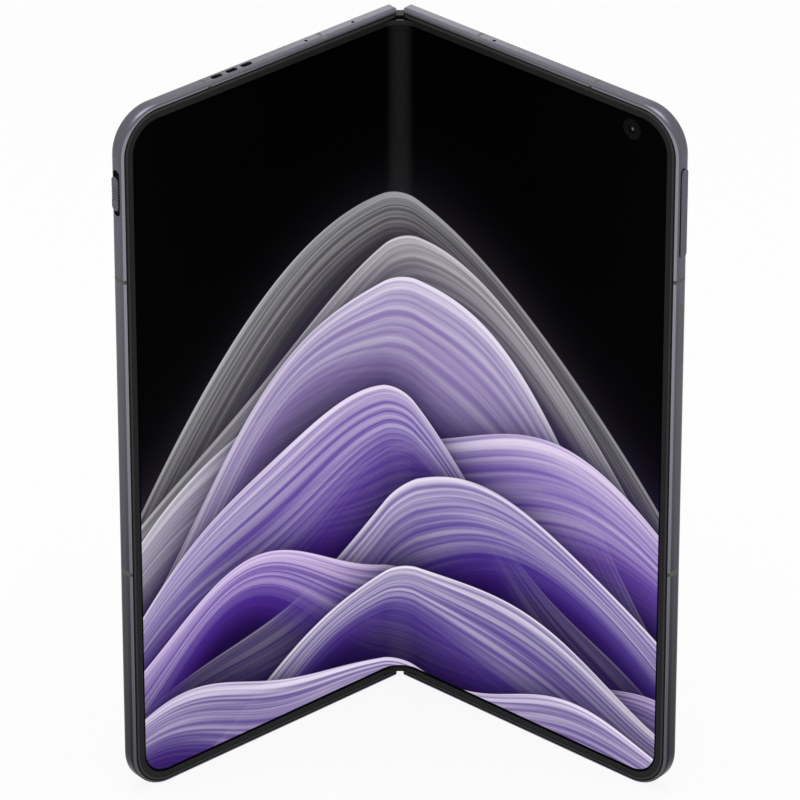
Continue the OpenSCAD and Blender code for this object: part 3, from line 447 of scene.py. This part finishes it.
def small_lens():
    """Front element of the inner camera: hard, coated and fully glossy."""
    t = Tree("small_lens")
    tint = t.noise(900.0, 1.0)
    t.surface(Base_Color=t.mix(tint, (0.01, 0.01, 0.02, 1.0), (0.03, 0.03, 0.06, 1.0)),
              Roughness=t.span(t.noise(1500.0), 0.03, 0.08), Specular_IOR_Level=1.0,
              Coat_Weight=1.0, Coat_Roughness=0.02)
    return t.material


def flash_diffuser():
    """Pale ribbed diffuser over warm phosphor."""
    t = Tree("flash_diffuser")
    ribs = t.node("ShaderNodeTexWave", bands_direction="Z")
    t.feed(ribs.inputs["Vector"], t.place())
    ribs.inputs["Scale"].default_value = 900.0
    t.surface(Base_Color=t.mix(ribs.outputs["Fac"], (0.85, 0.74, 0.5, 1.0),
                               (0.9, 0.86, 0.74, 1.0)),
              Roughness=t.span(t.noise(800.0), 0.2, 0.35), Coat_Weight=0.7,
              Normal=t.bump(ribs.outputs["Fac"], 0.00005, 0.7))
    return t.material


def battery_foil():
    """Laminate pouch: dark, softly wrinkled."""
    t = Tree("battery_foil")
    wrinkle = t.noise(220.0, 4.0)
    t.surface(Base_Color=t.mix(wrinkle, grey(0.04), grey(0.09)), Metallic=0.3,
              Roughness=t.span(wrinkle, 0.3, 0.5), Normal=t.bump(wrinkle, 0.0002, 0.4))
    return t.material


def board_mask():
    """Solder mask with copper tracks showing through."""
    t = Tree("board_mask")
    tracks = t.node("ShaderNodeTexVoronoi", feature="DISTANCE_TO_EDGE")
    t.feed(tracks.inputs["Vector"], t.place())
    tracks.inputs["Scale"].default_value = 700.0
    line = t.ramp_between(tracks.outputs["Distance"], 0.12, 0.03)
    t.surface(Base_Color=t.mix(line, (0.005, 0.03, 0.018, 1.0), (0.02, 0.1, 0.05, 1.0)),
              Roughness=t.span(t.noise(900.0), 0.3, 0.5), Coat_Weight=0.3,
              Normal=t.bump(line, 0.00003, 0.5))
    return t.material


# Wallpaper of the lit screen: waves of light that lie over each other, lowest last

RIBBONS = [
    # height, slope, swell, waves over the width, phase, width, cover, crest, body
    (0.113, 0.10, 0.009, 0.55, 2.60, 0.030, 0.70, (0.70, 0.69, 0.74), (0.050, 0.047, 0.056)),
    (0.102, -0.16, 0.011, 0.75, 0.40, 0.034, 0.82, (0.86, 0.84, 0.90), (0.150, 0.140, 0.175)),
    (0.093, 0.14, 0.012, 0.65, 3.90, 0.032, 0.86, (0.90, 0.86, 0.95), (0.230, 0.190, 0.320)),
    (0.088, -0.05, 0.014, 0.90, 1.50, 0.036, 0.86, (0.92, 0.86, 1.00), (0.220, 0.130, 0.420)),
    (0.072, 0.12, 0.012, 0.80, 5.20, 0.034, 0.88, (0.90, 0.78, 1.00), (0.110, 0.030, 0.400)),
    (0.061, -0.14, 0.012, 1.00, 2.40, 0.032, 0.88, (0.92, 0.80, 1.00), (0.080, 0.016, 0.350)),
    (0.046, 0.05, 0.011, 0.85, 0.10, 0.030, 0.90, (0.94, 0.84, 1.00), (0.060, 0.010, 0.310)),
    (0.034, -0.10, 0.010, 1.10, 3.70, 0.026, 0.90, (0.86, 0.70, 1.00), (0.070, 0.012, 0.330)),
    (0.022, 0.12, 0.008, 0.95, 1.20, 0.024, 0.92, (0.95, 0.88, 1.00), (0.055, 0.010, 0.270)),
    (0.011, -0.06, 0.007, 1.20, 4.60, 0.020, 0.92, (0.90, 0.80, 1.00), (0.050, 0.010, 0.220)),
]
DARK_RIM = 0.00045
RIM_SOFT = 0.00012
SAG = 0.42
DECAY_BASE = 2.718
THREADS_ACROSS = 14.0
THREADS_DOWN = 26.0
THREAD_SHIFT = 7.0
SHEEN_DECAY = -3.6
SHEEN_LIGHT = 0.85
LOBE_DECAY = -60.0
LOBE_LIGHT = 0.2
LIGHT_POWER = 1.25
EDGE_DECAY = -2000.0
EDGE_LIGHT = 0.6
SHADE_DECAY = 170.0
SHADE_SHARE = 0.8
SHADE_TONE = 0.12
FLAT_GLOSS = 0.006
BEND_GLOSS = 0.11


def lit_area(t, across, up):
    """1 inside the lit picture, 0 on the dark border that the panel keeps all round."""
    border = BEZEL_REACH + DARK_RIM
    turn = CORNER_R - border
    out_x = t.math("ADD", t.math("ABSOLUTE", across), turn + border - HALF_W)
    high = t.math("ABSOLUTE", t.math("SUBTRACT", up, BODY_H / 2))
    out_z = t.math("ADD", high, turn + border - BODY_H / 2)
    reach_x = t.math("POWER", t.math("MAXIMUM", out_x, 0.0), 2.0)
    reach_z = t.math("POWER", t.math("MAXIMUM", out_z, 0.0), 2.0)
    far = t.math("SQRT", t.math("ADD", reach_x, reach_z))
    return t.ramp_between(far, turn, turn - RIM_SOFT)


def decay(t, value, rate):
    """Falls off exponentially with the value, at the rate given with its sign."""
    return t.math("POWER", DECAY_BASE, t.math("MULTIPLY", value, rate))


def wallpaper(t, across, up):
    """Colour of the wallpaper at a flat place: across the fold and up, in metres."""
    colour = grey(0.0)
    per_metre = pi / HALF_W
    for k, (level, slope, swell, waves, phase, width, cover, crest, body) in enumerate(RIBBONS):
        turn = t.math("ADD", t.math("MULTIPLY", across, per_metre * waves), phase)
        twice = t.math("ADD", t.math("MULTIPLY", turn, 2.3), phase)
        lift = t.math("MULTIPLY", t.math("SINE", turn), swell)
        ripple = t.math("MULTIPLY", t.math("SINE", twice), 0.22 * swell)
        line = t.math("ADD", t.math("MULTIPLY", across, slope), level)
        sag = t.math("MULTIPLY", t.math("MULTIPLY", across, across), -SAG * level / HALF_W ** 2)
        line = t.math("ADD", line, sag)
        top = t.math("ADD", t.math("ADD", lift, ripple), line)
        below = t.math("SUBTRACT", top, up)
        twist = t.math("COSINE", t.math("ADD", t.math("MULTIPLY", turn, 1.4), 2.0 * phase))
        wide = t.math("ADD", t.math("MULTIPLY", twist, 0.42 * width), width)
        depth = t.math("DIVIDE", below, wide)
        place = t.node("ShaderNodeCombineXYZ")
        t.feed(place.inputs["X"], t.math("MULTIPLY", across, THREADS_ACROSS))
        t.feed(place.inputs["Y"], t.math("MULTIPLY", depth, THREADS_DOWN))
        place.inputs["Z"].default_value = THREAD_SHIFT * k
        silk = t.noise(1.0, 2.0, place.outputs["Vector"])
        silk = t.span(t.ramp_between(silk, 0.3, 0.7), 0.4, 1.35)
        sheen = decay(t, depth, SHEEN_DECAY)
        lobe = t.math("SUBTRACT", depth, t.span(twist, 0.36, 0.46))
        lobe = decay(t, t.math("MULTIPLY", lobe, lobe), LOBE_DECAY)
        edge = decay(t, below, EDGE_DECAY)
        light = t.math("ADD", t.math("MULTIPLY", sheen, SHEEN_LIGHT),
                       t.math("MULTIPLY", lobe, LOBE_LIGHT))
        light = t.math("MULTIPLY", light, silk)
        light = t.math("POWER", t.math("MAXIMUM", light, 0.0), LIGHT_POWER)
        light = t.math("ADD", light, t.math("MULTIPLY", edge, EDGE_LIGHT), clamp=True)
        tone = t.mix(light, body + (1.0,), crest + (1.0,))
        inside = t.ramp_between(below, 0.0, 0.00025)
        fade = t.ramp_between(depth, 1.15, 0.35)
        shown = t.math("MULTIPLY", t.math("MULTIPLY", inside, fade), cover, clamp=True)
        shade = decay(t, below, SHADE_DECAY)
        shade = t.math("MULTIPLY", t.math("MINIMUM", shade, 1.0), SHADE_SHARE * cover)
        colour = t.mix(shade, colour, tuple(SHADE_TONE * c for c in body) + (1.0,))
        colour = t.mix(shown, colour, tone)
    return t.mix(lit_area(t, across, up), grey(0.0), colour)


def lit_screen(name, bent):
    """The folding screen: a soft polymer face that shows the wallpaper with its own light.
    A bent piece carries its flat place in its mesh, and is glossier towards the crease."""
    t = Tree(name)
    gloss = FLAT_GLOSS
    if not bent:
        across, up = t.flat_half()[::2]
    else:
        flat = t.node("ShaderNodeAttribute", attribute_name="flat_place")
        parts = t.node("ShaderNodeSeparateXYZ")
        t.feed(parts.inputs[0], flat.outputs["Vector"])
        across, up = parts.outputs["X"], parts.outputs["Y"]
        far = t.ramp_between(t.math("ABSOLUTE", across), 0.0, SCREEN_X0)
        gloss = t.span(far, BEND_GLOSS, FLAT_GLOSS)
    picture = wallpaper(t, across, up)
    smear = t.noise(40.0, 4.0)
    t.surface(Base_Color=grey(0.0008), Roughness=t.span(smear, 0.22, 0.32),
              Specular_IOR_Level=gloss, Emission_Color=picture, Emission_Strength=1.0)
    return t.material


# Pieces

STRIP_STEPS = 28
STRIP_ROWS = 40
SHARP_ANGLE = radians(35)
EDGE_BREAK = 0.00006
INNER_LENS_SEAT = 0.00019
INNER_LENS_R = 0.00038
INNER_LENS_RISE = 0.00012


def new_piece(name, mesh_data, material, body):
    piece = bpy.data.objects.new(name, mesh_data)
    bpy.context.scene.collection.objects.link(piece)
    mesh_data.materials.append(material)
    if body:
        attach(piece, body)
    return piece


def bend_point(side, radius, turn, z):
    """A point of the bend about its middle, turn from 0 at the fold to 1 at the flat screen."""
    a = turn * (ALPHA - BEND_SLIT / BEND_R)
    return Vector((side * radius * sin(a), BEND_CY + radius * cos(a), z))


def bent_strip(name, side, profile, material, steps=STRIP_STEPS):
    """Sweeps a closed profile of (radius, z) points round one half of the bend."""
    mesh = bpy.data.meshes.new(name)
    bm = bmesh.new()
    rings = []
    for i in range(steps + 1):
        rings.append([bm.verts.new(bend_point(side, r, i / steps, z)) for r, z in profile])
    n = len(profile)
    for a, b in zip(rings, rings[1:]):
        for k in range(n):
            bm.faces.new((a[k], a[(k + 1) % n], b[(k + 1) % n], b[k]))
    bm.faces.new(rings[0])
    bm.faces.new(list(reversed(rings[-1])))
    bmesh.ops.recalc_face_normals(bm, faces=bm.faces)
    bm.to_mesh(mesh)
    bm.free()
    flat = mesh.attributes.new("flat_place", "FLOAT_VECTOR", "POINT")
    for i in range(steps + 1):
        for k, (_, z) in enumerate(profile):
            flat.data[i * n + k].vector = (side * SCREEN_X0 * i / steps, z, 0.0)
    for p in mesh.polygons:
        p.use_smooth = True
    mesh.set_sharp_from_angle(angle=SHARP_ANGLE)
    return new_piece(name, mesh, material, None)


def screen_profile(rows=STRIP_ROWS):
    """Front and back of the bending screen, bottom to top, so that it can bend evenly."""
    low, high = SCREEN_INSET, BODY_H - SCREEN_INSET
    front = [(BEND_R, low + (high - low) * i / rows) for i in range(rows + 1)]
    back = [(BEND_R + SCREEN_T, z) for _, z in reversed(front)]
    return front + back


def bezel_profile(top):
    """Section of the bezel strip over the bend, with broken edges."""
    cut = EDGE_BREAK
    face = BEND_R - SCREEN_RECESS + LIP_RISE
    rows = [(face, SCREEN_INSET + cut), (face + cut, SCREEN_INSET), (BEND_R, SCREEN_INSET),
            (BEND_R, BEZEL_REACH), (face + cut, BEZEL_REACH), (face, BEZEL_REACH - cut)]
    if top:
        rows = [(r, BODY_H - z) for r, z in rows]
    return rows


def bends(screen, bezel):
    """The bending strips of screen and bezel, each side between the spine and its half."""
    for side, word in ((-1, "left"), (1, "right")):
        strips = [bent_strip("bend_screen_" + word, side, screen_profile(), screen)]
        for top, place in ((False, "bottom"), (True, "top")):
            strips.append(bent_strip("bend_bezel_%s_%s" % (place, word), side,
                                     bezel_profile(top), bezel))
        for strip in strips:
            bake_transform(strip)
            node = "display_bend" if "screen" in strip.name else "bezel_bend"
            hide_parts(node)


def camera_lens(name, centre, radius, rise, material, rows=8, around=36):
    """A domed front element on the inner side of the right half, with a flat back."""
    mesh = bpy.data.meshes.new(name)
    bm = bmesh.new()
    x, y, z = centre
    rings = []
    for i in range(rows):
        r = radius * (1.0 - i / rows)
        lift = rise * (1.0 - (r / radius) ** 2)
        ring = []
        for k in range(around):
            turn = 2.0 * pi * k / around
            ring.append(bm.verts.new(on_half(1, x + r * cos(turn), y - lift, z + r * sin(turn))))
        rings.append(ring)
    for a, b in zip(rings, rings[1:]):
        for k in range(around):
            n = (k + 1) % around
            bm.faces.new((a[k], a[n], b[n], b[k]))
    crown = bm.verts.new(on_half(1, x, y - rise, z))
    for k in range(around):
        bm.faces.new((rings[-1][k], rings[-1][(k + 1) % around], crown))
    bm.faces.new(list(reversed(rings[0])))
    bmesh.ops.recalc_face_normals(bm, faces=bm.faces)
    bm.to_mesh(mesh)
    bm.free()
    for p in mesh.polygons:
        p.use_smooth = len(p.vertices) < around
    return new_piece(name, mesh, material, "right_half")


# Floor, light and camera

FLOOR_REACH = 12.0
FLOOR_GREY = 0.86
FLOOR_GLOW = 0.9
WORLD_LEVEL = 0.45
SENSOR_WIDTH = 36.0
CLIP_END = 50.0


def floor():
    """Pale floor that keeps the shadow. Its glow brings it to the white of the photograph."""
    mesh = bpy.data.meshes.new("floor")
    reach = FLOOR_REACH
    corners = [(-reach, -reach, 0.0), (reach, -reach, 0.0), (reach, reach, 0.0),
               (-reach, reach, 0.0)]
    mesh.from_pydata(corners, [], [(0, 1, 2, 3)])
    t = Tree("floor_white")
    diffuse = t.node("ShaderNodeBsdfDiffuse")
    diffuse.inputs["Color"].default_value = grey(FLOOR_GREY)
    glow = t.node("ShaderNodeEmission")
    glow.inputs["Color"].default_value = grey(1.0)
    path = t.node("ShaderNodeLightPath")
    seen = t.math("ADD", path.outputs["Is Camera Ray"], path.outputs["Is Glossy Ray"])
    seen = t.math("ADD", seen, path.outputs["Is Transmission Ray"], clamp=True)
    both = t.node("ShaderNodeMixShader")
    t.feed(both.inputs["Fac"], t.math("MULTIPLY", seen, FLOOR_GLOW))
    t.tree.links.new(diffuse.outputs["BSDF"], both.inputs[1])
    t.tree.links.new(glow.outputs["Emission"], both.inputs[2])
    t.tree.links.new(both.outputs["Shader"], t.out.inputs["Surface"])
    mesh.materials.append(t.material)
    obj = bpy.data.objects.new("floor", mesh)
    bpy.context.scene.collection.objects.link(obj)


def world_light(level):
    """Even surroundings: white where seen, a soft grey level as light."""
    world = bpy.data.worlds.new("studio")
    world.use_nodes = True
    nodes = world.node_tree.nodes
    links = world.node_tree.links
    shade = nodes["Background"]
    shade.inputs["Color"].default_value = grey(1.0)
    path = nodes.new("ShaderNodeLightPath")
    bare = nodes.new("ShaderNodeMath")
    bare.operation = "MAXIMUM"
    links.new(path.outputs["Is Camera Ray"], bare.inputs[0])
    links.new(path.outputs["Is Transmission Ray"], bare.inputs[1])
    seen = nodes.new("ShaderNodeMath")
    seen.operation = "MAXIMUM"
    links.new(bare.outputs[0], seen.inputs[0])
    links.new(path.outputs["Is Glossy Ray"], seen.inputs[1])
    strength = nodes.new("ShaderNodeMapRange")
    links.new(seen.outputs[0], strength.inputs["Value"])
    strength.inputs["To Min"].default_value = level
    strength.inputs["To Max"].default_value = 1.0
    links.new(strength.outputs["Result"], shade.inputs["Strength"])
    bpy.context.scene.world = world


def soft_lamp(name, place, aim, size, power):
    lamp = bpy.data.lights.new(name, "AREA")
    lamp.shape = "RECTANGLE"
    lamp.size = size[0]
    lamp.size_y = size[1]
    lamp.energy = power
    obj = bpy.data.objects.new(name, lamp)
    obj.location = place
    obj.rotation_euler = (Vector(aim) - Vector(place)).to_track_quat("-Z", "Y").to_euler()
    bpy.context.scene.collection.objects.link(obj)


def lights():
    world_light(WORLD_LEVEL)
    soft_lamp("back_lamp", (0.0, 0.2, 0.24), (0.0, 0.0, 0.15), (0.08, 0.06), 0.04)
    soft_lamp("top_lamp", (0.0, -0.1, 1.6), (0.0, 0.0, 0.1), (1.2, 1.0), 16.0)


def camera():
    data = bpy.data.cameras.new("camera")
    data.lens = CAM_LENS
    data.sensor_width = SENSOR_WIDTH
    data.clip_end = CLIP_END
    obj = bpy.data.objects.new("camera", data)
    back = Vector((0.0, -cos(CAM_ELEVATION), sin(CAM_ELEVATION)))
    obj.location = CAM_AIM + CAM_DISTANCE * back
    obj.rotation_euler = (pi / 2 - CAM_ELEVATION, 0.0, 0.0)
    bpy.context.scene.collection.objects.link(obj)
    bpy.context.scene.camera = obj


# Assembly

def dress():
    rim = anodised("rim_anodised", (0.135, 0.13, 0.155), 0.36, 0.9, 0.5)
    finish_nodes(["left_frame", "right_frame"], rim)
    finish_nodes(["power_button", "volume_rocker", "alert_slider", "sim_tray"],
                 anodised("key_anodised", (0.12, 0.115, 0.14), 0.32))
    finish_nodes(["spine_cover"], anodised("spine_anodised", (0.09, 0.09, 0.1), 0.34))
    finish_nodes(["camera_island"], anodised("island_anodised", (0.11, 0.105, 0.125), 0.3))
    finish_nodes(["spine_end_caps"], polymer("cap_polymer", 0.014, 0.5, 0.15))
    finish_nodes(["left_bezel", "right_bezel"], bezel_polymer("bezel_polymer", 0.05))
    finish_nodes(["left_antenna_breaks", "right_antenna_breaks"],
                 polymer("break_polymer", 0.06, 0.5))
    finish_nodes(["hinge_base_rails", "left_hinge_wing", "right_hinge_wing"],
                 steel("hinge_steel", (0.5, 0.5, 0.52), 0.3, (1.0, 1.0, 0.05)))
    finish_nodes(["hinge_base_gears", "idler_outer_left", "idler_inner_left",
                  "idler_inner_right", "idler_outer_right", "left_gear_sector",
                  "right_gear_sector"],
                 steel("gear_steel", (0.6, 0.58, 0.53), 0.35, (1.0, 1.0, 1.0)))
    finish_nodes(["left_screws", "right_screws", "usb_port", "shield_can", "sim_reader"],
                 steel("plated_steel", (0.62, 0.62, 0.6), 0.25, (0.1, 1.0, 1.0)))
    finish_nodes(["left_support_plate", "right_support_plate"], carbon_weave())
    finish_nodes(["cover_display"], cover_glass())
    finish_nodes(["rear_cover"], etched_glass())
    finish_nodes(["rear_lenses"], lens_glass())
    finish_nodes(["flash_lens"], flash_diffuser())
    finish_nodes(["left_battery", "right_battery"], battery_foil())
    finish_nodes(["main_board", "sub_board"], board_mask())
    finish_nodes(["inner_camera"], dark_window())
    camera_lens("inner_camera_lens",
                (INNER_CAM_X, SCREEN_RECESS + INNER_LENS_SEAT, INNER_CAM_Z),
                INNER_LENS_R, INNER_LENS_RISE, small_lens())
    finish_nodes(["cover_camera", "rear_camera_modules", "top_speaker", "bottom_speaker",
                  "haptic_motor", "slider_switch", "power_switch", "volume_switches"],
                 polymer("module_black", 0.012, 0.4))
    finish_nodes(["left_display", "right_display"], lit_screen("screen_flat", False))
    bends(lit_screen("screen_bend", True), bezel_polymer("bezel_strip", 0.015))


dress()
floor()
lights()
camera()
bpy.context.scene.view_settings.view_transform = "Standard"
